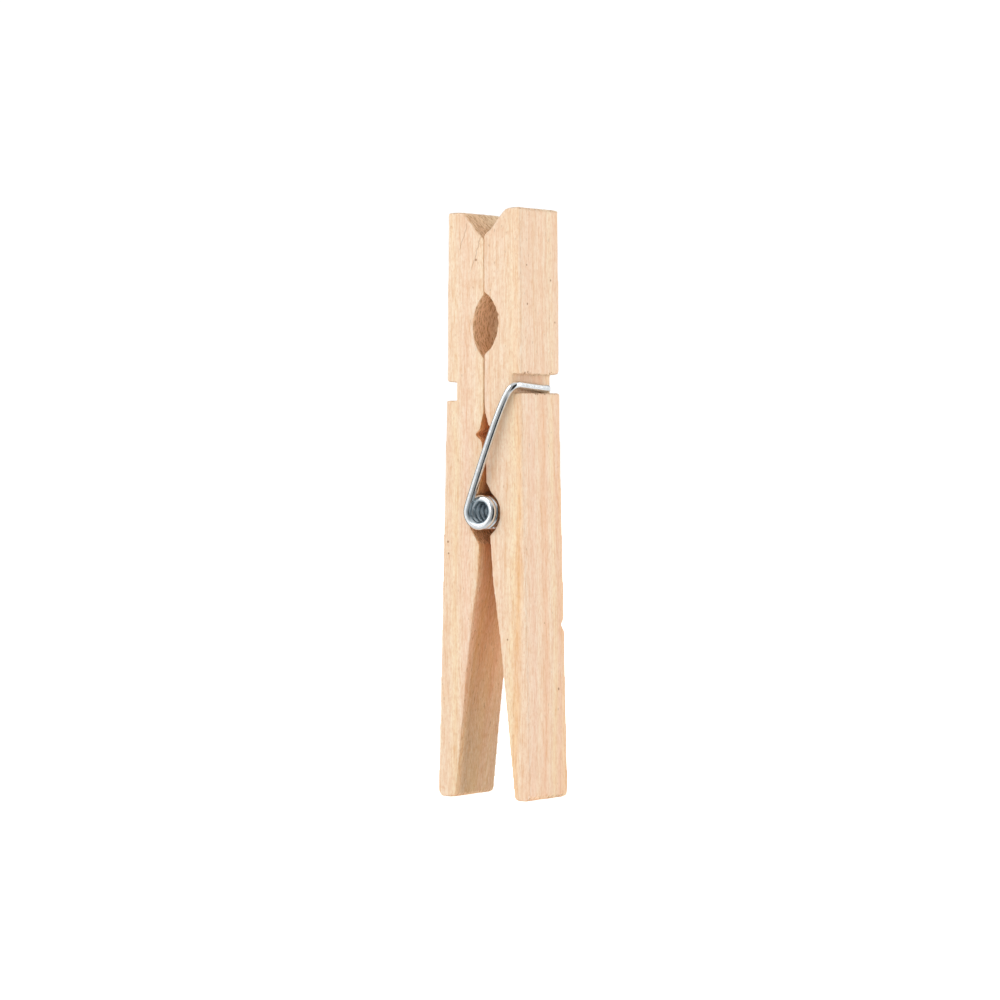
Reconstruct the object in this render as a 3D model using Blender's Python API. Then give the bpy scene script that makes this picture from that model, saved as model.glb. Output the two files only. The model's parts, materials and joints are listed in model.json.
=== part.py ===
"""Wooden clothespin: two milled legs held together by one sprung wire.

The pin stands upright on its handle ends. X runs across the two legs, Y along the spring coil, and Z up to
the jaws. The origin is the middle of the base. Every piece has its own origin on the coil's axis, which is
the axis that both legs rock about.
"""

import math

import bmesh
import bpy
from mathutils import Vector

MM = 0.001

# Driving dimensions of a leg
LEG_LENGTH = 85.7 * MM
LEG_DEPTH = 9.75 * MM
HALF_WIDTH_TIP = 6.38 * MM
HALF_WIDTH_GROOVE = 6.63 * MM
HALF_WIDTH_FOOT = 8.2 * MM
FOOT_THICKNESS = 2.78 * MM
EDGE_ROUND = 0.2 * MM
JAW_EDGE_SHARE = 0.3

# Jaw: a V mouth, flat gripping faces and an eye for the clothes line. The faces part a little below the eye
JAW_GAP = 0.07 * MM
LOWER_JAW_GAP = 0.2 * MM
MOUTH_WIDTH = 3.75 * MM
MOUTH_DEPTH = 4.15 * MM
EYE_HEIGHT = 9.2 * MM

# Relief below the jaw, with a small V notch under it
RELIEF_TOP = 56.1 * MM
RELIEF_GAP = 0.66 * MM
NOTCH_HEIGHT = 1.5 * MM
NOTCH_DEPTH = 1.5 * MM
NECK_GAP = 0.29 * MM

# The coil's axis, which both legs rock about
PIVOT_HEIGHT = 41.65 * MM

# Inner face of the handle: a shoulder under the seat and a bend further down
SHOULDER_X = 1.48 * MM
SHOULDER_HEIGHT = 31.8 * MM
BEND_X = 2.85 * MM
BEND_HEIGHT = 23.0 * MM

# Groove across the outer face, for the wire's hook
GROOVE_BASE_HEIGHT = 60.0 * MM
GROOVE_WIDTH = 2.72 * MM

# Rounded corners of the outline
FOOT_OUTER_ROUND = 0.9 * MM
FOOT_INNER_ROUND = 0.7 * MM
TIP_ROUND = 0.4 * MM
MOUTH_ROUND = 1.6 * MM
THROAT_ROUND = 0.4 * MM

# Spring wire
WIRE_RADIUS = 0.58 * MM
COIL_RADIUS = 2.01 * MM
COIL_HALF_LENGTH = 6.25 * MM
COIL_FULL_TURNS = 10
COIL_STEPS_PER_TURN = 20
WIRE_END_GAP = 0.1 * MM

# Arm: it leaves the coil at the first lean and bows out to the second one at its bend
ARM_LEAN = math.radians(20.6)
BEND_LEAN = math.radians(38.0)
ARM_LOWER_PULL = 11.0 * MM
ARM_UPPER_PULL = 2.0 * MM
ARM_CLEARANCE = 0.08 * MM
BEND_RADIUS = 1.15 * MM
HOOK_DROP_START = 0.1 * MM
HOOK_DROP_END = 0.7 * MM

# The two legs are milled alike, but each has its own small offsets
RIGHT = {
    "name": "right", "side": 1, "top": LEG_LENGTH,
    "groove": 60.3 * MM, "groove_depth": 1.62 * MM,
    "eye": 69.1 * MM, "eye_depth": 2.35 * MM, "notch": 53.55 * MM,
    "seat": 41.5 * MM, "seat_radius": 3.6 * MM, "seat_depth": 2.7 * MM,
    "flare_top": 46.0 * MM, "flare_x": 1.2 * MM,
    "seat_low_x": 1.3 * MM, "seat_foot": (0.98 * MM, 38.3 * MM), "handle_shift": 0.0,
    "hook_end": 3.1 * MM,
}
LEFT = {
    "name": "left", "side": -1, "top": LEG_LENGTH - 0.4 * MM,
    "groove": 59.25 * MM, "groove_depth": 1.76 * MM,
    "eye": 68.6 * MM, "eye_depth": 1.9 * MM, "notch": 52.95 * MM,
    "seat": 41.15 * MM, "seat_radius": 3.9 * MM, "seat_depth": 2.8 * MM,
    "flare_top": 47.9 * MM, "flare_x": 1.0 * MM,
    "seat_low_x": 2.2 * MM, "seat_foot": (0.82 * MM, 37.0 * MM), "handle_shift": 0.3 * MM,
    "hook_end": 2.9 * MM,
}

WOOD_COLOUR = (0.87, 0.66, 0.46, 1.0)
STEEL_COLOUR = (0.72, 0.74, 0.77, 1.0)


def clear_scene():
    for obj in list(bpy.data.objects):
        bpy.data.objects.remove(obj, do_unlink=True)


def make_material(name, colour, roughness, metallic):
    material = bpy.data.materials.new(name)
    material.use_nodes = True
    shader = material.node_tree.nodes["Principled BSDF"]
    shader.inputs["Base Color"].default_value = colour
    shader.inputs["Roughness"].default_value = roughness
    shader.inputs["Metallic"].default_value = metallic
    return material


def add_object(name, data, material):
    """Link an object whose origin is on the pivot axis; its data is already relative to that origin."""
    obj = bpy.data.objects.new(name, data)
    obj.location = (0.0, 0.0, PIVOT_HEIGHT)
    data.materials.append(material)
    bpy.context.scene.collection.objects.link(obj)
    return obj


def arc(centre, radius, start, end, steps):
    """Points along a circular arc in the plane of the outline, angles in radians."""
    points = []
    for i in range(steps + 1):
        angle = start + (end - start) * i / steps
        points.append(centre + radius * Vector((math.cos(angle), math.sin(angle))))
    return points


def arc_between(low, high, depth, steps):
    """Arc that bulges by depth towards +X between two points of the same X, running downwards."""
    half = (high.y - low.y) / 2
    radius = (half**2 + depth**2) / (2 * depth)
    centre = Vector((low.x + depth - radius, (low.y + high.y) / 2))
    swing = math.asin(half / radius)
    return arc(centre, radius, swing, -swing, steps)


def fillet(before, corner, after, radius, steps=4):
    """Round a corner of a path with an arc of the given radius. It works in two and in three dimensions."""
    to_before = (before - corner).normalized()
    to_after = (after - corner).normalized()
    half_angle = to_before.angle(to_after) / 2
    reach = radius / math.tan(half_angle)
    bisector = (to_before + to_after).normalized()
    centre = corner + bisector * (radius / math.sin(half_angle))
    first = corner + to_before * reach - centre
    last = corner + to_after * reach - centre
    sweep = math.pi - 2 * half_angle
    points = []
    for i in range(steps + 1):
        t = i / steps
        blend = first * math.sin((1 - t) * sweep) + last * math.sin(t * sweep)
        points.append(centre + blend / math.sin(sweep))
    return points


def outer_x(height):
    """Half width over both legs: nearly straight beside the jaw, widening towards the foot."""
    if height > GROOVE_BASE_HEIGHT:
        share = (LEG_LENGTH - height) / (LEG_LENGTH - GROOVE_BASE_HEIGHT)
        return HALF_WIDTH_TIP + (HALF_WIDTH_GROOVE - HALF_WIDTH_TIP) * share
    share = (GROOVE_BASE_HEIGHT - height) / GROOVE_BASE_HEIGHT
    return HALF_WIDTH_GROOVE + (HALF_WIDTH_FOOT - HALF_WIDTH_GROOVE) * share


def outer_outline(leg):
    """Foot, groove and tip along the outer face, from the foot upwards."""
    foot_outer = Vector((HALF_WIDTH_FOOT, 0.0))
    foot_inner = Vector((HALF_WIDTH_FOOT - FOOT_THICKNESS, 0.0))
    low = leg["groove"] - GROOVE_WIDTH / 2
    high = leg["groove"] + GROOVE_WIDTH / 2
    floor = outer_x(leg["groove"]) - leg["groove_depth"]
    tip = Vector((outer_x(leg["top"]), leg["top"]))
    mouth = Vector((MOUTH_WIDTH, leg["top"]))
    groove_low = Vector((outer_x(low), low))
    points = fillet(foot_inner, foot_outer, groove_low, FOOT_OUTER_ROUND)
    points += [groove_low, Vector((floor, low)), Vector((floor, high)), Vector((outer_x(high), high))]
    points += fillet(Vector((outer_x(high), high)), tip, mouth, TIP_ROUND)
    return points


def jaw_outline(leg):
    """Mouth, gripping faces and the line eye, from the tip downwards."""
    face = JAW_GAP / 2
    lower_face = LOWER_JAW_GAP / 2
    tip = Vector((outer_x(leg["top"]), leg["top"]))
    mouth = Vector((MOUTH_WIDTH, leg["top"]))
    throat = Vector((face, leg["top"] - MOUTH_DEPTH))
    eye_high = Vector((face, leg["eye"] + EYE_HEIGHT / 2))
    eye_low = Vector((face, leg["eye"] - EYE_HEIGHT / 2))
    under_eye = Vector((lower_face, eye_low.y))
    points = fillet(tip, mouth, throat, MOUTH_ROUND)
    points += fillet(mouth, throat, eye_high, THROAT_ROUND)
    points += arc_between(eye_low, eye_high, leg["eye_depth"], 14)[:-1]
    return points + [under_eye]


def relief_outline(leg):
    """Widening gap under the jaw faces and the small V notch, running downwards."""
    notch_high = leg["notch"] + NOTCH_HEIGHT / 2
    notch_low = leg["notch"] - NOTCH_HEIGHT / 2
    return [
        Vector((LOWER_JAW_GAP / 2, RELIEF_TOP)),
        Vector((0.6 * RELIEF_GAP, (RELIEF_TOP + notch_high) / 2)),
        Vector((RELIEF_GAP, notch_high)),
        Vector((NOTCH_DEPTH, leg["notch"])),
        Vector((0.85 * RELIEF_GAP, notch_low)),
        Vector((NECK_GAP, notch_low - 0.5 * MM)),
    ]


def seat_outline(leg):
    """Round seat of the coil, with a slanted lead-in from the neck above it and another to the handle below."""
    radius = leg["seat_radius"]
    centre = Vector((leg["seat_depth"] - radius, leg["seat"]))
    upper = math.acos((leg["flare_x"] - centre.x) / radius)
    lower = math.acos((leg["seat_low_x"] - centre.x) / radius)
    flare_top = Vector((NECK_GAP, leg["flare_top"]))
    return [flare_top] + arc(centre, radius, upper, -lower, 14) + [Vector(leg["seat_foot"])]


def handle_outline(leg):
    """Tapering inner face of the handle, down to the foot."""
    shift = leg["handle_shift"]
    foot_inner = Vector((HALF_WIDTH_FOOT - FOOT_THICKNESS - shift, 0.0))
    foot_outer = Vector((HALF_WIDTH_FOOT, 0.0))
    shoulder = Vector((SHOULDER_X - shift, SHOULDER_HEIGHT))
    bend = Vector((BEND_X - shift, BEND_HEIGHT))
    return [shoulder, bend] + fillet(bend, foot_inner, foot_outer, FOOT_INNER_ROUND)


def leg_outline(leg):
    """Closed outline of one leg in the XZ plane, for the right-hand side."""
    inner = jaw_outline(leg) + relief_outline(leg) + seat_outline(leg) + handle_outline(leg)
    return outer_outline(leg) + inner


def make_leg(leg, material):
    """Extrude the outline over the leg's depth and break its long edges."""
    mesh = bpy.data.meshes.new(leg["name"] + "_leg")
    shape = bmesh.new()
    outline = [(leg["side"] * p.x, -LEG_DEPTH / 2, p.y - PIVOT_HEIGHT) for p in leg_outline(leg)]
    face = shape.faces.new([shape.verts.new(p) for p in outline])
    grown = bmesh.ops.extrude_face_region(shape, geom=[face])
    moved = [item for item in grown["geom"] if isinstance(item, bmesh.types.BMVert)]
    bmesh.ops.translate(shape, verts=moved, vec=(0.0, LEG_DEPTH, 0.0))
    bmesh.ops.recalc_face_normals(shape, faces=shape.faces)
    mark_edges(shape)
    shape.to_mesh(mesh)
    shape.free()
    obj = add_object(leg["name"] + "_leg", mesh, material)
    break_edges(obj)
    return obj


def mark_edges(shape):
    """Weigh the edges to break: in full round the outside, and by a small share where the two jaws meet."""
    weight = shape.edges.layers.float.new("bevel_weight_edge")
    for edge in shape.edges:
        if edge.calc_face_angle() < math.radians(60):
            continue
        at_jaw = all(abs(v.co.x) < RELIEF_GAP and v.co.z > 0 for v in edge.verts)
        edge[weight] = JAW_EDGE_SHARE if at_jaw else 1.0


def break_edges(obj):
    bevel = obj.modifiers.new("edge_round", "BEVEL")
    bevel.width = EDGE_ROUND
    bevel.segments = 2
    bevel.limit_method = "WEIGHT"
    obj.data.shade_smooth()
    obj.data.set_sharp_from_angle(angle=math.radians(30))


def make_wire(name, points, material):
    """Round wire along a path, with closed ends."""
    curve = bpy.data.curves.new(name, "CURVE")
    curve.dimensions = "3D"
    curve.bevel_depth = WIRE_RADIUS
    curve.bevel_resolution = 2
    curve.use_fill_caps = True
    spline = curve.splines.new("POLY")
    spline.points.add(len(points) - 1)
    for point, place in zip(spline.points, points):
        point.co = (place.x, place.y, place.z, 1.0)
    return add_object(name, curve, material)


def make_coil(material):
    """Close-wound helix from the front arm's tangent point to the rear arm's."""
    trim = WIRE_END_GAP / COIL_RADIUS
    start = math.pi - ARM_LEAN
    end = start + 2 * math.pi * COIL_FULL_TURNS + (math.pi + 2 * ARM_LEAN)
    steps = round(COIL_STEPS_PER_TURN * (end - start) / (2 * math.pi))
    points = []
    for i in range(steps + 1):
        angle = start + trim + (end - start - 2 * trim) * i / steps
        along = 2 * COIL_HALF_LENGTH * (angle - start) / (end - start) - COIL_HALF_LENGTH
        points.append(Vector((COIL_RADIUS * math.cos(angle), along, COIL_RADIUS * math.sin(angle))))
    return make_wire("spring_coil", points, material)


def bezier(start, pull_start, pull_end, end, steps):
    """Points along a cubic curve, its last point left out."""
    points = []
    for i in range(steps):
        t = i / steps
        u = 1 - t
        points.append(u**3 * start + 3 * u * u * t * pull_start + 3 * u * t * t * pull_end + t**3 * end)
    return points


def arm_path(leg):
    """Bowed arm from the coil's tangent point to the leg's groove, then the hook along the groove.

    It is worked out for the front arm and turned half round about Z for the rear one.
    """
    floor = outer_x(leg["groove"]) - leg["groove_depth"]
    hook_x = floor + WIRE_RADIUS + ARM_CLEARANCE
    side_y = LEG_DEPTH / 2 + WIRE_RADIUS + ARM_CLEARANCE
    hook_high = leg["groove"] - HOOK_DROP_START - PIVOT_HEIGHT
    hook_low = leg["groove"] - HOOK_DROP_END - PIVOT_HEIGHT
    start = Vector((-COIL_RADIUS * math.cos(ARM_LEAN), -COIL_HALF_LENGTH, COIL_RADIUS * math.sin(ARM_LEAN)))
    corner = Vector((hook_x, -side_y, hook_high))
    end = Vector((hook_x, leg["hook_end"], hook_low))
    out_of_coil = Vector((math.sin(ARM_LEAN), 0.0, math.cos(ARM_LEAN)))
    into_bend = Vector((math.sin(BEND_LEAN), 0.0, math.cos(BEND_LEAN)))
    bend = fillet(corner - into_bend, corner, end, BEND_RADIUS, 8)
    low_pull = start + out_of_coil * ARM_LOWER_PULL
    high_pull = bend[0] - into_bend * ARM_UPPER_PULL
    path = bezier(start, low_pull, high_pull, bend[0], 14) + bend + [corner.lerp(end, 0.6), end]
    turn = leg["side"]
    return [Vector((turn * p.x, turn * p.y, p.z)) for p in path]


def build():
    clear_scene()
    wood = make_material("pine_wood", WOOD_COLOUR, 0.65, 0.0)
    steel = make_material("spring_steel", STEEL_COLOUR, 0.25, 1.0)
    make_leg(RIGHT, wood)
    make_leg(LEFT, wood)
    make_coil(steel)
    make_wire("spring_front_arm", arm_path(RIGHT), steel)
    make_wire("spring_rear_arm", arm_path(LEFT), steel)


build()
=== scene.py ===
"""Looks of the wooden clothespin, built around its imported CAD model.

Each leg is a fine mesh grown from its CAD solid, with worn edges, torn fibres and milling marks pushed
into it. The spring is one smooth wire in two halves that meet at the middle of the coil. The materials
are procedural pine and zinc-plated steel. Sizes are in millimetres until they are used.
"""

import json
import math

import bpy
import numpy as np
from mathutils import Matrix, Vector, noise


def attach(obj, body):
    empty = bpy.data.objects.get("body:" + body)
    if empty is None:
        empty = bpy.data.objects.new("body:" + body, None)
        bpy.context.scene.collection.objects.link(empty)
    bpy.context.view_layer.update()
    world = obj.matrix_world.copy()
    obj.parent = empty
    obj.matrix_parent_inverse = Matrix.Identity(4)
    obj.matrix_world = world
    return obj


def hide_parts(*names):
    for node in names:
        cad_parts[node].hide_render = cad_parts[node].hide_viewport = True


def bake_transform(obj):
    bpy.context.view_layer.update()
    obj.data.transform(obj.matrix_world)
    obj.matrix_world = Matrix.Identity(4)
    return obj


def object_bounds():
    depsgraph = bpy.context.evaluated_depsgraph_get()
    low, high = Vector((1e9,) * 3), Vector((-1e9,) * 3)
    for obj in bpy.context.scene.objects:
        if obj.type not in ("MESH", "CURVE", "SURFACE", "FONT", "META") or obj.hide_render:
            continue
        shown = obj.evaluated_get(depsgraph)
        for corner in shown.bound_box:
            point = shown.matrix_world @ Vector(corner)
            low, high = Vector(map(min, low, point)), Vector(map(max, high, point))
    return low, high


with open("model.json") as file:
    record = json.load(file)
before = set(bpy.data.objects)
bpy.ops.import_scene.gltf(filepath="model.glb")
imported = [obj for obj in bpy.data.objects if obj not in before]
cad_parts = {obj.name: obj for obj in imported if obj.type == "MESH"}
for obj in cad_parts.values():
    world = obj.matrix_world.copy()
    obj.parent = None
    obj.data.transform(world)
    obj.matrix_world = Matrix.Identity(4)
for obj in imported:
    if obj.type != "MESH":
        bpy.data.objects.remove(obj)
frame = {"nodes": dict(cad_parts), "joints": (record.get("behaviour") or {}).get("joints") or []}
cad_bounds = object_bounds()

MM = 0.001
PIVOT = Vector(frame["joints"][0]["pos_m"]) / MM

# Camera
CAMERA_AZIMUTH = math.radians(35.0)
CAMERA_ELEVATION = math.radians(0.92)
CAMERA_DISTANCE = 0.5186
CAMERA_LENS_MM = 127.7
AIM_RIGHT = -0.46 * MM
AIM_UP = 0.54 * MM

# Legs, as milled in the CAD model
HALF_DEPTH = 4.875
OUTER_TIP, OUTER_GROOVE, OUTER_FOOT = 6.38, 6.63, 8.2
LEG_LENGTH, GROOVE_BASE = 85.7, 60.0
GROOVE_WIDTH = 2.72
LEGS = {
    "right": {"side": 1, "groove": 60.3, "groove_depth": 1.62, "eye": 69.1, "hook_end": 3.1, "seed": 3.0},
    "left": {"side": -1, "groove": 59.25, "groove_depth": 1.76, "eye": 68.6, "hook_end": 2.9, "seed": 41.0},
}
VOXEL = 0.18

# Wear and tool marks on a leg: how far each moves the surface
WAVES, FIBRES = 0.04, 0.014
EDGE_WEAR, EDGE_HOLLOWS, EDGE_NICKS = 0.05, 0.05, 0.06
FOOT_NICKS, EYE_CHIPS = 0.22, 0.30
TORN_END_GRAIN, MILLING_LINES = 0.05, 0.02
GROOVE_LIP, GROOVE_SHELF = 0.22, 0.10
CHIP_HEIGHT, CHIP_DEPTH, CHIP_SIZE = 25.2, 0.26, (0.7, 0.8, 0.6)
HALF_GAP = 0.002

# Growth bands of each leg's wood: place across the grain in millimetres, and colour
CREAM = (0.88, 0.685, 0.51)
YELLOW = (0.885, 0.69, 0.465)
PINK = (0.87, 0.63, 0.475)
ORANGE = (0.885, 0.61, 0.37)
BANDS = {
    "right": [(-10.0, PINK), (-8.6, CREAM), (-7.2, CREAM), (-6.0, YELLOW), (-5.3, ORANGE), (-4.7, CREAM),
              (-2.2, PINK), (-1.2, CREAM), (0.7, (0.86, 0.57, 0.385)), (1.7, CREAM), (2.8, YELLOW),
              (3.9, (0.86, 0.595, 0.43)), (5.3, ORANGE)],
    "left": [(-10.0, YELLOW), (-8.8, CREAM), (-7.6, PINK), (-6.6, CREAM), (-5.9, YELLOW), (-4.9, CREAM),
             (-3.9, CREAM), (-2.0, YELLOW), (-0.5, PINK), (0.8, CREAM), (2.2, PINK), (3.6, YELLOW),
             (5.3, ORANGE)],
}
BANDS_FROM, BANDS_TO = -10.5, 5.5

# Tones that are laid over the wood
BLOTCH = (0.845, 0.60, 0.44)
FINE_FIBRE = (0.76, 0.48, 0.30)
FLECK = (0.42, 0.23, 0.11)
MARK = (0.34, 0.16, 0.07)
END_GRAIN_FRONT, END_GRAIN_BACK = (1.0, 0.70, 0.45), (0.94, 0.75, 0.51)
END_GRAIN_PORE = (0.50, 0.27, 0.12)

# Factors on the wood's colour, for noise and for the milled faces between the legs. The milled factors are
# partly the browner sawn wood and partly painted shade of the gap between the legs, darker towards the foot;
# the rim factor is a painted highlight along the front edge of the inner faces, and the seat factors are
# partly browner sawn wood and partly painted shade of the seat's recess.
STREAK_RAMP = [(0.32, (0.95, 0.86, 0.76)), (0.5, (1.0, 1.0, 1.0)), (0.68, (1.02, 1.03, 1.02))]
FIBRE_RAMP = [(0.3, (0.90, 0.76, 0.63)), (0.52, (1.0, 1.0, 1.0)), (0.72, (1.03, 1.08, 1.11))]
MOTTLE_RAMP = [(0.3, (0.95, 0.88, 0.81)), (0.5, (1.0, 1.0, 1.0)), (0.7, (1.01, 1.05, 1.08))]
MILLED_FOOT, MILLED_HANDLE_AND_SHADE = (0.74, 0.70, 0.60), (0.94, 0.75, 0.54)
MILLED_JAW, PAINTED_RIM_HIGHLIGHT = (0.96, 0.88, 0.77), (1.12, 1.06, 0.98)
MILLED_PORE = (0.86, 0.81, 0.74)
SEAT_SAWN_AND_SHADE, SEAT_PORE_SAWN_AND_SHADE = (1.16, 0.93, 0.70), (0.86, 0.66, 0.50)

# Soft edges of regions of a leg: heights of the seat's and the jaw's lower ends, and the eye's half height
SEAT_FROM = (33.0, 40.0)
JAW_FROM = (55.0, 57.0)
EYE_REACH = (4.3, 4.7)

# Fine dark marks. A split and a curved scratch on the front of the left leg's jaw, as (x, z) of their
# ends, and specks on both legs, as (x, y, z, radius)
SPLIT = [(-0.62, 81.5), (-1.66, 78.3), (-3.1, 75.4)]
SCRATCH = [(-3.1, 83.5), (-4.35, 79.4)]
SPECKS = {
    "left": [(-1.42, -4.875, 78.3, 0.17), (-6.4, -4.875, 37.3, 0.16), (-6.3, -4.875, 35.6, 0.13)],
    "right": [(6.5, -3.2, 71.8, 0.15), (6.45, 2.8, 75.4, 0.16), (6.5, 3.8, 69.3, 0.13),
              (6.45, -3.3, 77.4, 0.12), (6.6, -3.9, 61.75, 0.22), (6.6, -3.2, 61.95, 0.13),
              (6.6, -2.9, 61.65, 0.19), (6.6, -0.7, 61.7, 0.10), (6.6, 2.5, 61.75, 0.16),
              (6.6, 2.9, 62.0, 0.10), (6.65, -1.3, 58.9, 0.20), (6.65, -0.8, 58.85, 0.16),
              (6.65, 0.3, 58.9, 0.12), (6.65, 1.1, 58.9, 0.20), (7.4, -0.3, 25.6, 0.15),
              (7.8, 3.0, 15.9, 0.18), (4.2, -4.875, 23.3, 0.13)],
}

# Spring wire, as wound in the CAD model
WIRE_RADIUS = 0.58
COIL_RADIUS = 2.01
COIL_HALF_LENGTH = 6.25
COIL_FULL_TURNS = 10
ARM_LEAN = math.radians(20.6)
BEND_LEAN = math.radians(38.0)
ARM_LOWER_PULL = 11.0
ARM_UPPER_PULL = 2.0
ARM_CLEARANCE = 0.08
BEND_RADIUS = 1.15
HOOK_DROP_START = 0.1
HOOK_DROP_END = 0.7
RING_SPACING = 0.2
RING_SIDES = 28
WIRE_CHAMFER = 0.12

# Steel
ZINC_RAMP = [(0.3, (0.74, 0.78, 0.80)), (0.6, (0.86, 0.885, 0.90))]
DRAWN_STREAK = (0.60, 0.63, 0.66)
# Painted shade and a bluish painted reflection on the side of the wire that faces into the coil
COIL_INSIDE_PAINTED_SHADE = (0.60, 0.70, 0.76)

# Room: its level for matt surfaces, and the cards that shiny ones see, over half a turn
ROOM_LEVEL = 0.475
LEFT_GAIN = 0.14
BACKDROP_LEVEL = 1.05
CARD_GAIN = 1.10
OVERHEAD_CARD = (0.66, 0.66, 0.66)
CARDS_START = math.radians(95.0)
CARDS = [(0.0, 0.10), (0.03, 0.95), (0.21, 0.98), (0.25, 0.82), (0.31, 0.82), (0.35, 0.98), (0.40, 0.95),
         (0.46, 0.42), (0.71, 0.34), (0.75, 0.03), (1.0, 0.02)]
WHITE = (1.0, 1.0, 1.0, 1.0)

# Lights: name, direction from the pin, distance and width in metres, power, and whether steel shows them
LIGHTS = [
    ("key", (-0.55, -0.9, 0.65), 0.9, 0.65, 2.7, True),
    ("right_fill", (0.8, 0.55, 0.3), 1.0, 0.6, 3.25, True),
    ("front", (0.6, -0.8, 0.35), 1.2, 0.8, 1.4, False),
]


def link(obj):
    bpy.context.scene.collection.objects.link(obj)
    return obj


# ---------------------------------------------------------------- camera, light and floor


def make_camera():
    """Long lens at the height of the pin's middle, to the front right."""
    lowest, highest = cad_bounds
    centre = (lowest + highest) / 2
    back = Vector((
        math.sin(CAMERA_AZIMUTH) * math.cos(CAMERA_ELEVATION),
        -math.cos(CAMERA_AZIMUTH) * math.cos(CAMERA_ELEVATION),
        math.sin(CAMERA_ELEVATION),
    ))
    right = Vector((math.cos(CAMERA_AZIMUTH), math.sin(CAMERA_AZIMUTH), 0.0))
    place = centre + back * CAMERA_DISTANCE
    aim = centre + right * AIM_RIGHT + Vector((0.0, 0.0, AIM_UP))
    data = bpy.data.cameras.new("camera")
    data.lens = CAMERA_LENS_MM
    data.clip_start = 0.01
    data.clip_end = 20.0
    camera = link(bpy.data.objects.new("camera", data))
    camera.location = place
    camera.rotation_euler = (aim - place).to_track_quat("-Z", "Y").to_euler()
    bpy.context.scene.camera = camera


class Nodes:
    """Short forms for building one node tree."""

    def __init__(self, tree):
        self.tree = tree

    def add(self, kind, inputs, **settings):
        node = self.tree.nodes.new("ShaderNode" + kind)
        for name, value in settings.items():
            setattr(node, name, value)
        for socket, value in inputs.items():
            self.set(node.inputs[socket], value)
        return node

    def set(self, socket, value):
        if isinstance(value, bpy.types.NodeSocket):
            self.tree.links.new(value, socket)
        else:
            socket.default_value = value

    def math(self, operation, a, b=0.0, clamp=False):
        return self.add("Math", {0: a, 1: b}, operation=operation, use_clamp=clamp).outputs[0]

    def total(self, first, *others):
        for value in others:
            first = self.math("ADD", first, value)
        return first

    def times(self, first, *others):
        for value in others:
            first = self.math("MULTIPLY", first, value)
        return first

    def minus(self, a, b):
        return self.math("SUBTRACT", a, b)

    def scaled(self, vector, scale):
        return self.add("VectorMath", {0: vector, 1: scale}, operation="MULTIPLY").outputs[0]

    def shifted(self, vector, shift):
        return self.add("VectorMath", {0: vector, 1: shift}, operation="ADD").outputs[0]

    def split(self, vector):
        return self.add("SeparateXYZ", {0: vector}).outputs

    def vector(self, x, y, z):
        return self.add("CombineXYZ", {0: x, 1: y, 2: z}).outputs[0]

    def noise(self, vector, detail=2.0, roughness=0.5):
        inputs = {"Vector": vector, "Scale": 1.0, "Detail": detail, "Roughness": roughness}
        return self.add("TexNoise", inputs).outputs["Fac"]

    def step(self, value, low, high, bottom=0.0, top=1.0):
        """Smooth step from bottom to top as value goes from low to high."""
        inputs = {"Value": value, "From Min": low, "From Max": high, "To Min": bottom, "To Max": top}
        return self.add("MapRange", inputs, interpolation_type="SMOOTHSTEP").outputs["Result"]

    def line(self, value, start, end):
        """Straight line through two points (value, result)."""
        slope = (end[1] - start[1]) / (end[0] - start[0])
        return self.math("ADD", self.math("MULTIPLY", value, slope), start[1] - slope * start[0])

    def mix(self, share, a, b, blend="MIX"):
        """Colour between a and b, each a socket or an (r, g, b)."""
        a, b = (c if isinstance(c, bpy.types.NodeSocket) else (*c, 1.0) for c in (a, b))
        node = self.add("Mix", {0: share, 6: a, 7: b}, data_type="RGBA", blend_type=blend)
        return node.outputs[2]

    def ramp(self, value, stops):
        node = self.add("ValToRGB", {"Fac": value})
        elements = node.color_ramp.elements
        while len(elements) < len(stops):
            elements.new(0.5)
        for element, (place, colour) in zip(elements, stops):
            element.position = place
            element.color = (*colour, 1.0)
        return node.outputs["Color"]

    def attribute(self, name):
        return self.add("Attribute", {}, attribute_name=name).outputs["Fac"]


def new_material(name):
    """A material with its node forms and its Principled shader."""
    material = bpy.data.materials.new(name)
    material.use_nodes = True
    return material, Nodes(material.node_tree), material.node_tree.nodes["Principled BSDF"]


def make_world():
    """White backdrop and a soft grey-white room. Shiny parts see bright and dark cards in it instead.

    The cards repeat every half turn, so the wire looks alike from the front and from the back.
    """
    world = bpy.data.worlds.new("studio")
    world.use_nodes = True
    n = Nodes(world.node_tree)
    output = world.node_tree.nodes["World Output"]
    room = world.node_tree.nodes["Background"]
    direction = n.add("TexCoord", {}).outputs["Generated"]
    x, y, z = n.split(direction)
    azimuth = n.math("ARCTAN2", x, n.times(y, -1.0))
    left = n.times(n.step(azimuth, -1.6, -1.1), n.step(azimuth, -0.1, 0.3, 1.0, 0.0))
    soft = n.total(ROOM_LEVEL, n.times(left, LEFT_GAIN))
    soft = n.times(soft, n.step(z, 0.2, 0.9, 1.0, 1.15))
    half_turns = n.math("DIVIDE", n.minus(azimuth, CARDS_START), math.pi)
    cards = n.ramp(n.math("FRACT", half_turns), [(place, (level,) * 3) for place, level in CARDS])
    cards = n.mix(n.step(n.math("ABSOLUTE", z), 0.45, 0.8), cards, OVERHEAD_CARD)
    cards = n.times(cards, CARD_GAIN)
    path = n.add("LightPath", {}).outputs
    level = n.add("Mix", {0: path["Is Glossy Ray"], 2: soft, 3: cards}, data_type="FLOAT").outputs[0]
    n.set(room.inputs["Color"], WHITE)
    n.set(room.inputs["Strength"], level)
    backdrop = n.add("Background", {"Color": WHITE, "Strength": BACKDROP_LEVEL})
    shown = n.add("MixShader", {0: path["Is Camera Ray"], 1: room.outputs[0], 2: backdrop.outputs[0]})
    n.set(output.inputs["Surface"], shown.outputs[0])
    bpy.context.scene.world = world
    bpy.context.scene.view_settings.view_transform = "Standard"


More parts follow.
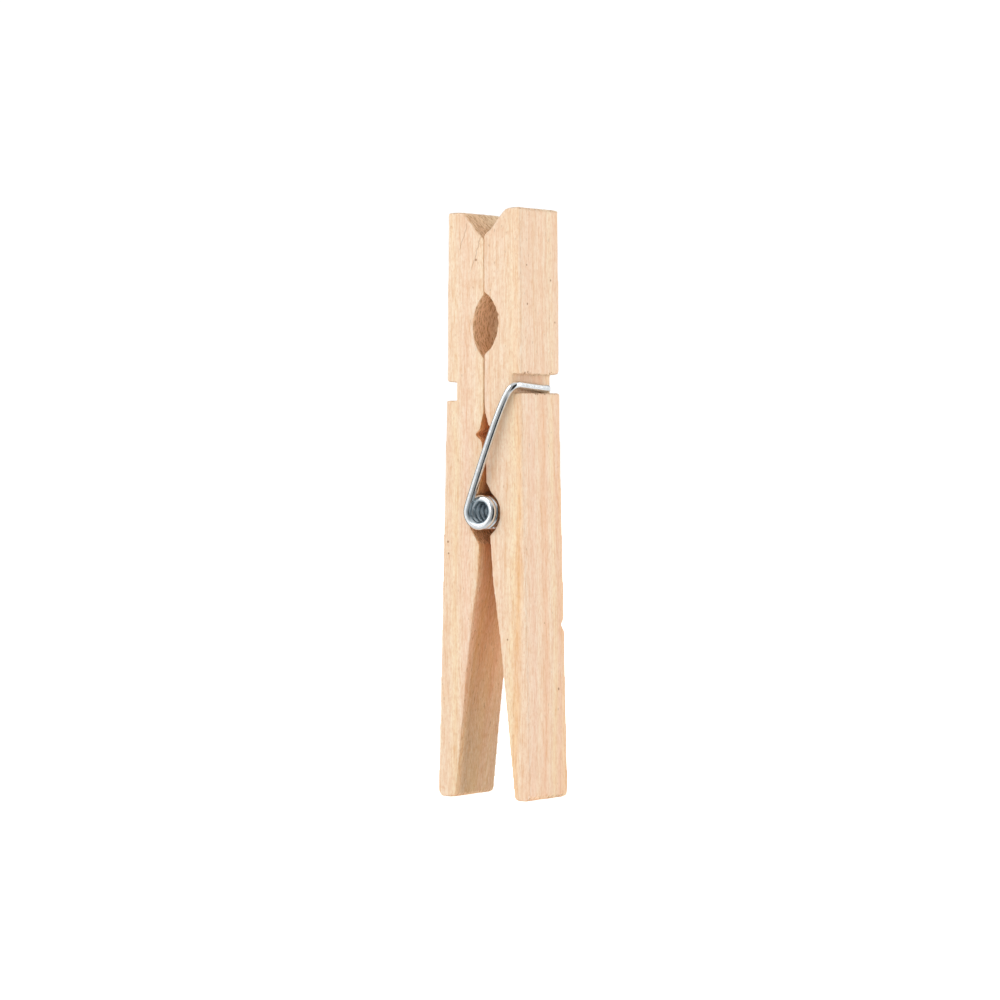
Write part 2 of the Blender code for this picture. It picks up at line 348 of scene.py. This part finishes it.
def make_light(name, direction, distance, size, power, in_reflections):
    """Square soft light that faces the middle of the pin."""
    data = bpy.data.lights.new(name, "AREA")
    data.size = size
    data.energy = power
    light = link(bpy.data.objects.new(name, data))
    centre = (cad_bounds[0] + cad_bounds[1]) / 2
    light.location = centre + Vector(direction).normalized() * distance
    light.rotation_euler = (centre - light.location).to_track_quat("-Z", "Y").to_euler()
    light.visible_glossy = in_reflections


def make_floor():
    """White ground that glows a little for the camera, so that it fades into the backdrop."""
    reach = 3.0
    mesh = bpy.data.meshes.new("floor")
    corners = [(-reach, -reach, 0), (reach, -reach, 0), (reach, reach, 0), (-reach, reach, 0)]
    mesh.from_pydata(corners, [], [(0, 1, 2, 3)])
    floor = link(bpy.data.objects.new("floor", mesh))
    material, n, shader = new_material("floor_white")
    shader.inputs["Base Color"].default_value = (0.80, 0.80, 0.80, 1.0)
    shader.inputs["Roughness"].default_value = 0.8
    shader.inputs["Specular IOR Level"].default_value = 0.1
    shader.inputs["Emission Color"].default_value = WHITE
    seen = n.add("LightPath", {}).outputs["Is Camera Ray"]
    n.set(shader.inputs["Emission Strength"], n.step(seen, 0.0, 1.0, 0.36, 0.88))
    mesh.materials.append(material)
    floor.visible_glossy = False


# ---------------------------------------------------------------- materials


def groove_mark(n, x, centre, half_width, fade):
    """Thin dark line where x is at the centre."""
    off = n.math("ABSOLUTE", n.minus(x, centre))
    return n.times(n.step(off, 0.02, half_width, 1.0, 0.0), fade)


def fine_marks(n, place, leg_name):
    """How dark the fine marks are at a place, from 0 to 1."""
    x, y, z = n.split(place)
    total = 0.0
    if leg_name == "left":
        front = n.step(y, -HALF_DEPTH + 0.1, -HALF_DEPTH + 0.25, 1.0, 0.0)
        wobble = n.times(n.minus(n.noise(n.scaled(place, (0.0, 0.0, 1.5)), 3.0), 0.5), 0.9)
        top, middle, bottom = SPLIT
        upper = n.line(z, (top[1], top[0]), (middle[1], middle[0]))
        lower = n.line(z, (middle[1], middle[0]), (bottom[1], bottom[0]))
        centre = n.total(n.math("MINIMUM", upper, lower), wobble)
        lower_fade = n.step(z, bottom[1], middle[1], 0.0, 0.5)
        fade = n.times(lower_fade, n.step(z, top[1], top[1] + 0.2, 1.0, 0.0))
        split = groove_mark(n, x, centre, 0.11, fade)
        (top_x, top_z), (low_x, low_z) = SCRATCH
        centre = n.total(n.step(z, low_z, top_z, low_x, top_x), n.times(wobble, 0.6))
        lower_fade = n.step(z, low_z, low_z + 1.0, 0.0, 0.42)
        fade = n.times(lower_fade, n.step(z, top_z, top_z + 0.3, 1.0, 0.0))
        scratch = groove_mark(n, x, centre, 0.12, fade)
        total = n.times(n.math("MAXIMUM", split, scratch), front)
    for *spot, radius in SPECKS[leg_name]:
        distance = n.add("VectorMath", {0: place, 1: spot}, operation="DISTANCE").outputs["Value"]
        total = n.math("MAXIMUM", total, n.step(distance, 0.5 * radius, 1.6 * radius, 0.85, 0.0))
    return total


def growth_bands(n, place, moved, leg_name):
    """Soft bands that wander along the leg and fade on the jaw, with streaks and blotches."""
    leg = LEGS[leg_name]
    seed, side = leg["seed"], leg["side"]
    x, y, z = n.split(place)
    wander = n.minus(n.noise(n.scaled(moved, (0.12, 0.12, 0.03)), 2.0), 0.5)
    across = n.total(y, n.times(n.minus(x, side * 6.5), side * 0.8), n.times(wander, 2.4))
    share = n.math("DIVIDE", n.minus(across, BANDS_FROM), BANDS_TO - BANDS_FROM)
    stops = [((at - BANDS_FROM) / (BANDS_TO - BANDS_FROM), colour) for at, colour in BANDS[leg_name]]
    tone = n.mix(n.step(z, 50.0, 68.0, 0.0, 0.6), n.ramp(share, stops), CREAM)
    streaks = n.noise(n.vector(n.times(across, 1.3), seed, n.times(z, 0.02)), 3.0, 0.65)
    tone = n.mix(1.0, tone, n.ramp(streaks, STREAK_RAMP), "MULTIPLY")
    blotch = n.noise(n.scaled(moved, (0.3, 0.3, 0.12)), 3.0)
    return n.mix(n.step(blotch, 0.45, 0.70, 0.0, 0.4), tone, BLOTCH)


def milled_and_shaded_faces(n, tone, place, leg, inner, cross, pores):
    """Browner faces between the legs, partly sawn wood and partly painted shade of the gap, with a painted
    highlight along their front edge; end grain where the cut runs across; and a darker, more orange tone at
    the seat, partly browner sawn wood and partly painted shade of its recess.
    """
    _, y, z = n.split(place)
    in_pores = n.step(pores, 0.38, 0.62)
    from_eye = n.math("ABSOLUTE", n.minus(z, leg["eye"]))
    in_eye = n.times(inner, n.step(from_eye, *EYE_REACH, 1.0, 0.0))
    end_light = n.mix(n.step(y, -3.5, 1.5), END_GRAIN_FRONT, END_GRAIN_BACK)
    end_tone = n.mix(n.step(pores, 0.45, 0.60), end_light, END_GRAIN_PORE)

    # Factors on the milled faces: browner sawn wood and painted shade of the gap between the legs, darker
    # towards the foot.
    factor = n.mix(n.step(z, 4.0, 26.0), MILLED_FOOT, MILLED_HANDLE_AND_SHADE)
    factor = n.mix(n.times(n.step(z, *JAW_FROM), n.step(from_eye, *EYE_REACH)), factor, MILLED_JAW)
    # Painted highlight along the front edge of the inner face, standing in for a rounded corner that catches
    # the light.
    rim_highlight_mask = n.times(n.step(y, -4.7, -3.0, 0.85, 0.0), n.step(z, 34.0, 39.0, 1.0, 0.0))
    factor = n.mix(rim_highlight_mask, factor, PAINTED_RIM_HIGHLIGHT)
    factor = n.mix(in_pores, factor, n.mix(1.0, factor, MILLED_PORE, "MULTIPLY"))
    tone = n.mix(n.times(inner, 0.9), tone, n.mix(1.0, tone, factor, "MULTIPLY"))
    tone = n.mix(n.math("MAXIMUM", n.times(cross, 0.68), n.times(in_eye, 0.76)), tone, end_tone)

    # Painted shade in the seat's recess, together with the browner sawn wood there.
    seat_sawn_and_shade_mask = n.times(n.step(z, *SEAT_FROM), n.step(z, *JAW_FROM, 1.0, 0.0))
    seat_sawn_and_shade_mask = n.times(seat_sawn_and_shade_mask, n.math("MAXIMUM", inner, cross))
    shade = n.mix(in_pores, SEAT_SAWN_AND_SHADE, SEAT_PORE_SAWN_AND_SHADE)
    return n.mix(seat_sawn_and_shade_mask, tone, n.mix(1.0, tone, shade, "MULTIPLY"))


def wood_material(name, leg_name):
    """Pale pine: growth bands, fine fibres, pores, dark flecks and milled faces made browner partly by the
    sawn wood and partly by painted shade.
    """
    leg = LEGS[leg_name]
    seed = leg["seed"]
    material, n, shader = new_material(name)
    place = n.scaled(n.add("TexCoord", {}).outputs["Object"], (1 / MM,) * 3)
    moved = n.shifted(place, (seed, seed * 0.7, seed * 3.1))
    inner = n.attribute("inner")
    cross = n.attribute("cross")
    fibre = n.noise(n.scaled(moved, (4.5, 4.5, 0.34)), 3.0, 0.65)
    fine = n.noise(n.scaled(moved, (7.0, 7.0, 1.6)), 2.0, 0.6)
    mottle = n.noise(n.scaled(moved, (2.4, 2.4, 1.5)), 3.0, 0.6)
    pores = n.noise(n.scaled(moved, (1.5, 4.6, 1.1)), 4.0, 0.7)
    fleck_field = n.noise(n.scaled(moved, (3.2, 3.2, 1.1)), 1.0)
    fleck = n.step(n.total(fleck_field, n.times(inner, 0.07)), 0.73, 0.79)
    marks = fine_marks(n, place, leg_name)

    tone = growth_bands(n, place, moved, leg_name)
    tone = n.mix(1.0, tone, n.ramp(fibre, FIBRE_RAMP), "MULTIPLY")
    tone = n.mix(1.0, tone, n.ramp(mottle, MOTTLE_RAMP), "MULTIPLY")
    tone = n.mix(n.step(fine, 0.50, 0.74, 0.0, 0.7), tone, FINE_FIBRE)
    tone = n.mix(n.times(fleck, 0.45), tone, FLECK)
    tone = milled_and_shaded_faces(n, tone, place, leg, inner, cross, pores)
    n.set(shader.inputs["Base Color"], n.mix(marks, tone, MARK))

    rough = n.total(n.step(fibre, 0.3, 0.75, 0.66, 0.56), n.times(cross, 0.15))
    n.set(shader.inputs["Roughness"], rough)
    shader.inputs["Specular IOR Level"].default_value = 0.35
    shader.inputs["Sheen Weight"].default_value = 0.04

    height = n.total(
        n.times(fibre, 0.6),
        n.times(fine, -0.4),
        n.times(fleck, -0.5),
        n.times(marks, -0.8),
        n.times(cross, pores, -1.2),
    )
    bump = n.add("Bump", {"Height": height, "Distance": 0.04 * MM, "Strength": 0.8})
    n.set(shader.inputs["Normal"], bump.outputs[0])
    return material


def steel_material():
    """Bright zinc over drawn wire: faint streaks along the wire, a slightly mottled gloss, and painted shade
    with a bluish painted reflection on the side of the wire that faces into the coil, which is also rougher
    there.
    """
    material, n, shader = new_material("zinc_plated_steel")
    place = n.scaled(n.add("TexCoord", {}).outputs["Object"], (1 / MM,) * 3)
    along = n.times(n.attribute("along"), 0.12)
    around = n.attribute("around")
    streak = n.noise(n.vector(along, n.times(n.math("COSINE", around), 2.6),
                              n.times(n.math("SINE", around), 2.6)), 3.0, 0.6)
    mottle = n.noise(n.scaled(place, (1.6, 1.6, 1.6)), 3.0, 0.55)
    tone = n.ramp(mottle, ZINC_RAMP)
    tone = n.mix(n.step(streak, 0.5, 0.75, 0.0, 0.25), tone, DRAWN_STREAK)
    x, _, z = n.split(place)
    off_axis = n.vector(x, 0.0, n.minus(z, PIVOT.z))
    off_axis = n.add("VectorMath", {0: off_axis}, operation="LENGTH").outputs["Value"]
    # Painted shade and a bluish painted reflection on the wire's side that faces into the coil, which is
    # also rougher
    coil_inside_shade_and_rough = n.step(off_axis, COIL_RADIUS - 0.25, COIL_RADIUS - 0.05, 1.0, 0.0)
    tone = n.mix(n.times(coil_inside_shade_and_rough, 0.7), tone, COIL_INSIDE_PAINTED_SHADE)
    n.set(shader.inputs["Base Color"], tone)
    shader.inputs["Metallic"].default_value = 1.0
    rough = n.total(n.step(mottle, 0.3, 0.7, 0.10, 0.18), n.times(coil_inside_shade_and_rough, 0.22))
    n.set(shader.inputs["Roughness"], rough)
    height = n.total(streak, n.times(mottle, 0.6))
    bump = n.add("Bump", {"Height": height, "Distance": 0.008 * MM, "Strength": 0.35})
    n.set(shader.inputs["Normal"], bump.outputs[0])
    return material


# ---------------------------------------------------------------- legs


def dense_copy(node, name):
    """Fine, even mesh of a CAD solid, in millimetres."""
    mesh = frame["nodes"][node].data.copy()
    mesh.transform(Matrix.Scale(1 / MM, 4))
    target = link(bpy.data.objects.new(name + "_target", mesh))
    source = link(bpy.data.objects.new(name + "_source", mesh))
    remesh = source.modifiers.new("remesh", "REMESH")
    remesh.mode = "VOXEL"
    remesh.voxel_size = VOXEL
    snap = source.modifiers.new("snap", "SHRINKWRAP")
    snap.target = target
    snap.wrap_method = "NEAREST_SURFACEPOINT"
    smooth = source.modifiers.new("smooth", "SMOOTH")
    smooth.factor = 0.5
    smooth.iterations = 1
    graph = bpy.context.evaluated_depsgraph_get()
    dense = bpy.data.meshes.new_from_object(source.evaluated_get(graph))
    dense.name = name
    bpy.data.objects.remove(source, do_unlink=True)
    bpy.data.objects.remove(target, do_unlink=True)
    return dense


def read_array(collection, attribute, width):
    values = np.empty(len(collection) * width, np.float32)
    collection.foreach_get(attribute, values)
    return values.reshape(-1, width).astype(np.float64)


def noise_at(places, scale, seed):
    """Smooth noise from about -1 to 1 at each place, with scale in cycles per millimetre along each axis."""
    moved = places * np.array(scale) + seed
    return np.array([noise.noise(place) for place in moved.tolist()])


def smoothstep(values, low, high):
    t = np.clip((values - low) / (high - low), 0.0, 1.0)
    return t * t * (3 - 2 * t)


def hump(values, centre, half_width):
    return np.exp(-(((values - centre) / half_width) ** 2))


def convexity(mesh, places, normals, spread):
    """How sharply the surface turns outwards at each vertex, from 0 to 1, spread over the neighbours."""
    ends = np.empty(len(mesh.edges) * 2, np.int32)
    mesh.edges.foreach_get("vertices", ends)
    ends = ends.reshape(-1, 2)
    step = places[ends[:, 1]] - places[ends[:, 0]]
    turn = normals[ends[:, 1]] - normals[ends[:, 0]]
    bend = (turn * step).sum(1) / np.maximum((step * step).sum(1), 1e-9)
    count = np.bincount(ends.ravel(), minlength=len(places))

    def gather(values):
        return np.bincount(ends.ravel(), weights=np.repeat(values, 2), minlength=len(places)) / count

    edge = gather(bend)
    for _ in range(spread):
        edge = gather(edge[ends].mean(1))
    return np.clip(edge / 1.2, 0.0, 1.0)


def outer_x(height):
    """Half width over both legs at a height."""
    jaw_share = (LEG_LENGTH - height) / (LEG_LENGTH - GROOVE_BASE)
    handle_share = (GROOVE_BASE - height) / GROOVE_BASE
    jaw = OUTER_TIP + (OUTER_GROOVE - OUTER_TIP) * jaw_share
    handle = OUTER_GROOVE + (OUTER_FOOT - OUTER_GROOVE) * handle_share
    return np.where(height > GROOVE_BASE, jaw, handle)


def add_attribute(mesh, name, values):
    attribute = mesh.attributes.new(name, "FLOAT", "POINT")
    attribute.data.foreach_set("value", values.astype(np.float32))


def carve(mesh, leg_name):
    """Push wear and tool marks into a leg's surface and store the masks that its material reads."""
    leg = LEGS[leg_name]
    side, seed = leg["side"], leg["seed"]
    places = read_array(mesh.vertices, "co", 3)
    normals = read_array(mesh.vertex_normals, "vector", 3)
    x, z = places[:, 0] * side, places[:, 2]
    edge = convexity(mesh, places, normals, 2)
    facing_in = -normals[:, 0] * side
    inner = smoothstep(facing_in, 0.3, 0.7)
    cross = smoothstep(np.abs(normals[:, 2]), 0.2, 0.6)

    depth = WAVES * noise_at(places, (0.13, 0.13, 0.04), seed)
    depth += FIBRES * noise_at(places, (1.5, 1.5, 0.09), seed)
    wear = noise_at(places, (0.35, 0.35, 0.22), seed + 9)
    nicks = noise_at(places, (1.3, 1.3, 0.8), seed + 5)
    at_jaw = smoothstep(x, 1.2, 0.5) * smoothstep(z, 56.0, 58.0)
    worn = EDGE_WEAR + EDGE_HOLLOWS * np.clip(wear, 0, 1) + EDGE_NICKS * np.clip(nicks - 0.15, 0, 1)
    depth -= edge * worn * (1 - at_jaw)
    depth -= edge * smoothstep(z, 1.6, 0.3) * FOOT_NICKS * np.clip(nicks, 0, 1)
    at_eye = hump(z, leg["eye"] + 1.5, 3.6) * smoothstep(x, 3.0, 2.4)
    chips = noise_at(places, (2.0, 2.0, 1.7), seed + 12)
    depth -= edge * at_eye * EYE_CHIPS * np.clip(chips, 0, 1)
    upper_jaw = at_jaw * smoothstep(z, 73.0, 74.0)
    torn = noise_at(places, (0.7, 2.4, 0.7), seed + 2)
    depth += cross * TORN_END_GRAIN * torn
    depth += inner * (1 - cross) * MILLING_LINES * noise_at(places, (0.4, 2.4, 0.3), seed + 7)
    lip = leg["groove"] + GROOVE_WIDTH / 2
    outer_face = smoothstep(x, 5.9, 6.4)
    lip_mask = hump(z, lip + 0.15, 0.45) * outer_face
    depth += lip_mask * GROOVE_LIP * noise_at(places, (0.6, 1.9, 0.9), seed + 4)
    shelf_mask = hump(z, lip - GROOVE_WIDTH, 0.3) * outer_face
    depth += shelf_mask * GROOVE_SHELF * noise_at(places, (0.6, 1.5, 0.9), seed + 6)
    # Where the legs touch each other or the coil, the surface may sink but not swell
    near_contact = (x < 0.6) | (inner > 0.5) & (np.abs(z - PIVOT.z) < 4.5)
    depth = np.where(near_contact, np.minimum(depth, 0.0), depth)
    # The gripping faces keep nearly sharp edges and close up to a thin line
    depth += edge * (0.04 * at_jaw + 0.05 * upper_jaw) + 0.02 * upper_jaw * inner
    lower_jaw = at_jaw * smoothstep(z, 65.0, 64.0) * inner
    depth += lower_jaw * (0.025 + 0.03 * noise_at(places, (0.1, 0.25, 0.55), seed + 8))

    places = places + normals * depth[:, None]
    if leg_name == "right":
        corner = np.array((float(outer_x(CHIP_HEIGHT)), HALF_DEPTH, CHIP_HEIGHT))
        reach = np.linalg.norm((places - corner) / np.array(CHIP_SIZE), axis=1)
        places[:, :2] -= (CHIP_DEPTH * np.exp(-(reach**2)))[:, None]
    # Each leg ends at the floor and stays on its own side of the middle plane
    places[:, 2] = np.maximum(places[:, 2], 0.0)
    places[:, 0] = side * np.maximum(side * places[:, 0], HALF_GAP)
    mesh.vertices.foreach_set("co", (places * MM).astype(np.float32).ravel())
    mesh.update()
    add_attribute(mesh, "inner", inner)
    add_attribute(mesh, "cross", cross)


def make_leg(leg_name, material):
    """One leg that rides on its CAD node and takes that node's place."""
    name = leg_name + "_leg_wood"
    mesh = dense_copy(leg_name + "_leg", name)
    carve(mesh, leg_name)
    mesh.shade_smooth()
    mesh.materials.clear()
    mesh.materials.append(material)
    leg = link(bpy.data.objects.new(name, mesh))
    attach(leg, leg_name + "_leg")
    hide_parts(leg_name + "_leg")


# ---------------------------------------------------------------- spring


def fillet(before, corner, after, radius, steps):
    """Arc that rounds a corner of a path."""
    to_before = (before - corner).normalized()
    to_after = (after - corner).normalized()
    half_angle = to_before.angle(to_after) / 2
    reach = radius / math.tan(half_angle)
    centre = corner + (to_before + to_after).normalized() * (radius / math.sin(half_angle))
    first = corner + to_before * reach - centre
    last = corner + to_after * reach - centre
    sweep = math.pi - 2 * half_angle
    points = []
    for i in range(steps + 1):
        t = i / steps
        blend = first * math.sin((1 - t) * sweep) + last * math.sin(t * sweep)
        points.append(centre + blend / math.sin(sweep))
    return points


def bezier(start, pull_start, pull_end, end, steps):
    """Points along a cubic curve, its last point left out."""
    points = []
    for i in range(steps):
        t = i / steps
        u = 1 - t
        points.append(u**3 * start + 3 * u * u * t * pull_start + 3 * u * t * t * pull_end + t**3 * end)
    return points


def half_wire_path(leg):
    """From the coil's middle along half its turns, up the arm and along the hook.

    It is worked out for the front half, relative to the pivot, and turned half round about Z for the
    rear one.
    """
    start_angle = math.pi - ARM_LEAN
    turned = 2 * math.pi * COIL_FULL_TURNS + math.pi + 2 * ARM_LEAN
    middle = turned / 2
    steps = int(middle * COIL_RADIUS / RING_SPACING)
    points = []
    for i in range(steps):
        angle = middle * (1 - i / steps)
        along = COIL_HALF_LENGTH * (angle / middle - 1)
        radial = (math.cos(start_angle + angle), math.sin(start_angle + angle))
        points.append(Vector((COIL_RADIUS * radial[0], along, COIL_RADIUS * radial[1])))
    floor = float(outer_x(leg["groove"])) - leg["groove_depth"]
    hook_x = floor + WIRE_RADIUS + ARM_CLEARANCE
    side_y = HALF_DEPTH + WIRE_RADIUS + ARM_CLEARANCE
    hook_high = leg["groove"] - HOOK_DROP_START - PIVOT.z
    hook_low = leg["groove"] - HOOK_DROP_END - PIVOT.z
    start = Vector((-COIL_RADIUS * math.cos(ARM_LEAN), -COIL_HALF_LENGTH, COIL_RADIUS * math.sin(ARM_LEAN)))
    corner = Vector((hook_x, -side_y, hook_high))
    end = Vector((hook_x, leg["hook_end"], hook_low))
    out_of_coil = Vector((math.sin(ARM_LEAN), 0.0, math.cos(ARM_LEAN)))
    into_bend = Vector((math.sin(BEND_LEAN), 0.0, math.cos(BEND_LEAN)))
    bend = fillet(corner - into_bend, corner, end, BEND_RADIUS, 12)
    low_pull = start + out_of_coil * ARM_LOWER_PULL
    high_pull = bend[0] - into_bend * ARM_UPPER_PULL
    points += bezier(start, low_pull, high_pull, bend[0], 60) + bend
    points += [bend[-1].lerp(end, i / 40) for i in range(1, 41)]
    turn = leg["side"]
    return np.array([(turn * p.x, turn * p.y, p.z + PIVOT.z) for p in points])


def even_path(points, spacing, relax):
    """The path at even steps, with its joins eased."""
    for _ in range(relax):
        points[1:-1] = 0.25 * points[:-2] + 0.5 * points[1:-1] + 0.25 * points[2:]
    lengths = np.concatenate([[0.0], np.cumsum(np.linalg.norm(np.diff(points, axis=0), axis=1))])
    stops = np.linspace(0.0, lengths[-1], int(lengths[-1] / spacing) + 1)
    return np.stack([np.interp(stops, lengths, points[:, axis]) for axis in range(3)], axis=1), stops


def tube(name, points, stops):
    """Closed tube along a path. Its outer end has a small chamfer, and its inner end is cut flush."""
    path = [Vector(p) for p in points]
    tangents = []
    for i in range(len(path)):
        tangents.append((path[min(i + 1, len(path) - 1)] - path[max(i - 1, 0)]).normalized())
    normal = tangents[0].orthogonal().normalized()
    rings = []
    for i, place in enumerate(path):
        if i:
            normal = tangents[i - 1].rotation_difference(tangents[i]) @ normal
        rings.append((place, tangents[i], normal.copy(), WIRE_RADIUS, stops[i]))
    place, tangent, normal, _, stop = rings[-1]
    for further, thinner in ((0.5, 0.3), (1.0, 1.0)):
        tip = place + tangent * WIRE_CHAMFER * further
        rings.append((tip, tangent, normal, WIRE_RADIUS - thinner * WIRE_CHAMFER, stop))
    vertices, along, around = [], [], []
    for place, tangent, normal, radius, stop in rings:
        side = tangent.cross(normal)
        for k in range(RING_SIDES):
            angle = 2 * math.pi * k / RING_SIDES
            vertices.append((place + (normal * math.cos(angle) + side * math.sin(angle)) * radius) * MM)
            along.append(stop)
            around.append(angle)
    faces = []
    for i in range(len(rings) - 1):
        for k in range(RING_SIDES):
            low, high = i * RING_SIDES, (i + 1) * RING_SIDES
            next_k = (k + 1) % RING_SIDES
            faces.append((low + k, low + next_k, high + next_k, high + k))
    last = (len(rings) - 1) * RING_SIDES
    faces.append(tuple(reversed(range(RING_SIDES))))
    faces.append(tuple(range(last, last + RING_SIDES)))
    mesh = bpy.data.meshes.new(name)
    mesh.from_pydata(vertices, [], faces)
    mesh.shade_smooth()
    mesh.set_sharp_from_angle(angle=math.radians(40))
    add_attribute(mesh, "along", np.array(along))
    add_attribute(mesh, "around", np.array(around))
    return mesh


def make_half_wire(name, leg_name, arm_node, material):
    """Half of the spring, which takes the place of its CAD arm and of the CAD coil."""
    leg = LEGS[leg_name]
    points, stops = even_path(half_wire_path(leg), RING_SPACING, 3)
    mesh = tube(name, points, stops)
    mesh.materials.append(material)
    half = link(bpy.data.objects.new(name, mesh))
    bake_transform(half)
    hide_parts(arm_node, "spring_coil")


make_camera()
make_world()
for light in LIGHTS:
    make_light(*light)
make_floor()
make_leg("right", wood_material("pine_right", "right"))
make_leg("left", wood_material("pine_left", "left"))
steel = steel_material()
make_half_wire("spring_front_half", "right", "spring_front_arm", steel)
make_half_wire("spring_rear_half", "left", "spring_rear_arm", steel)
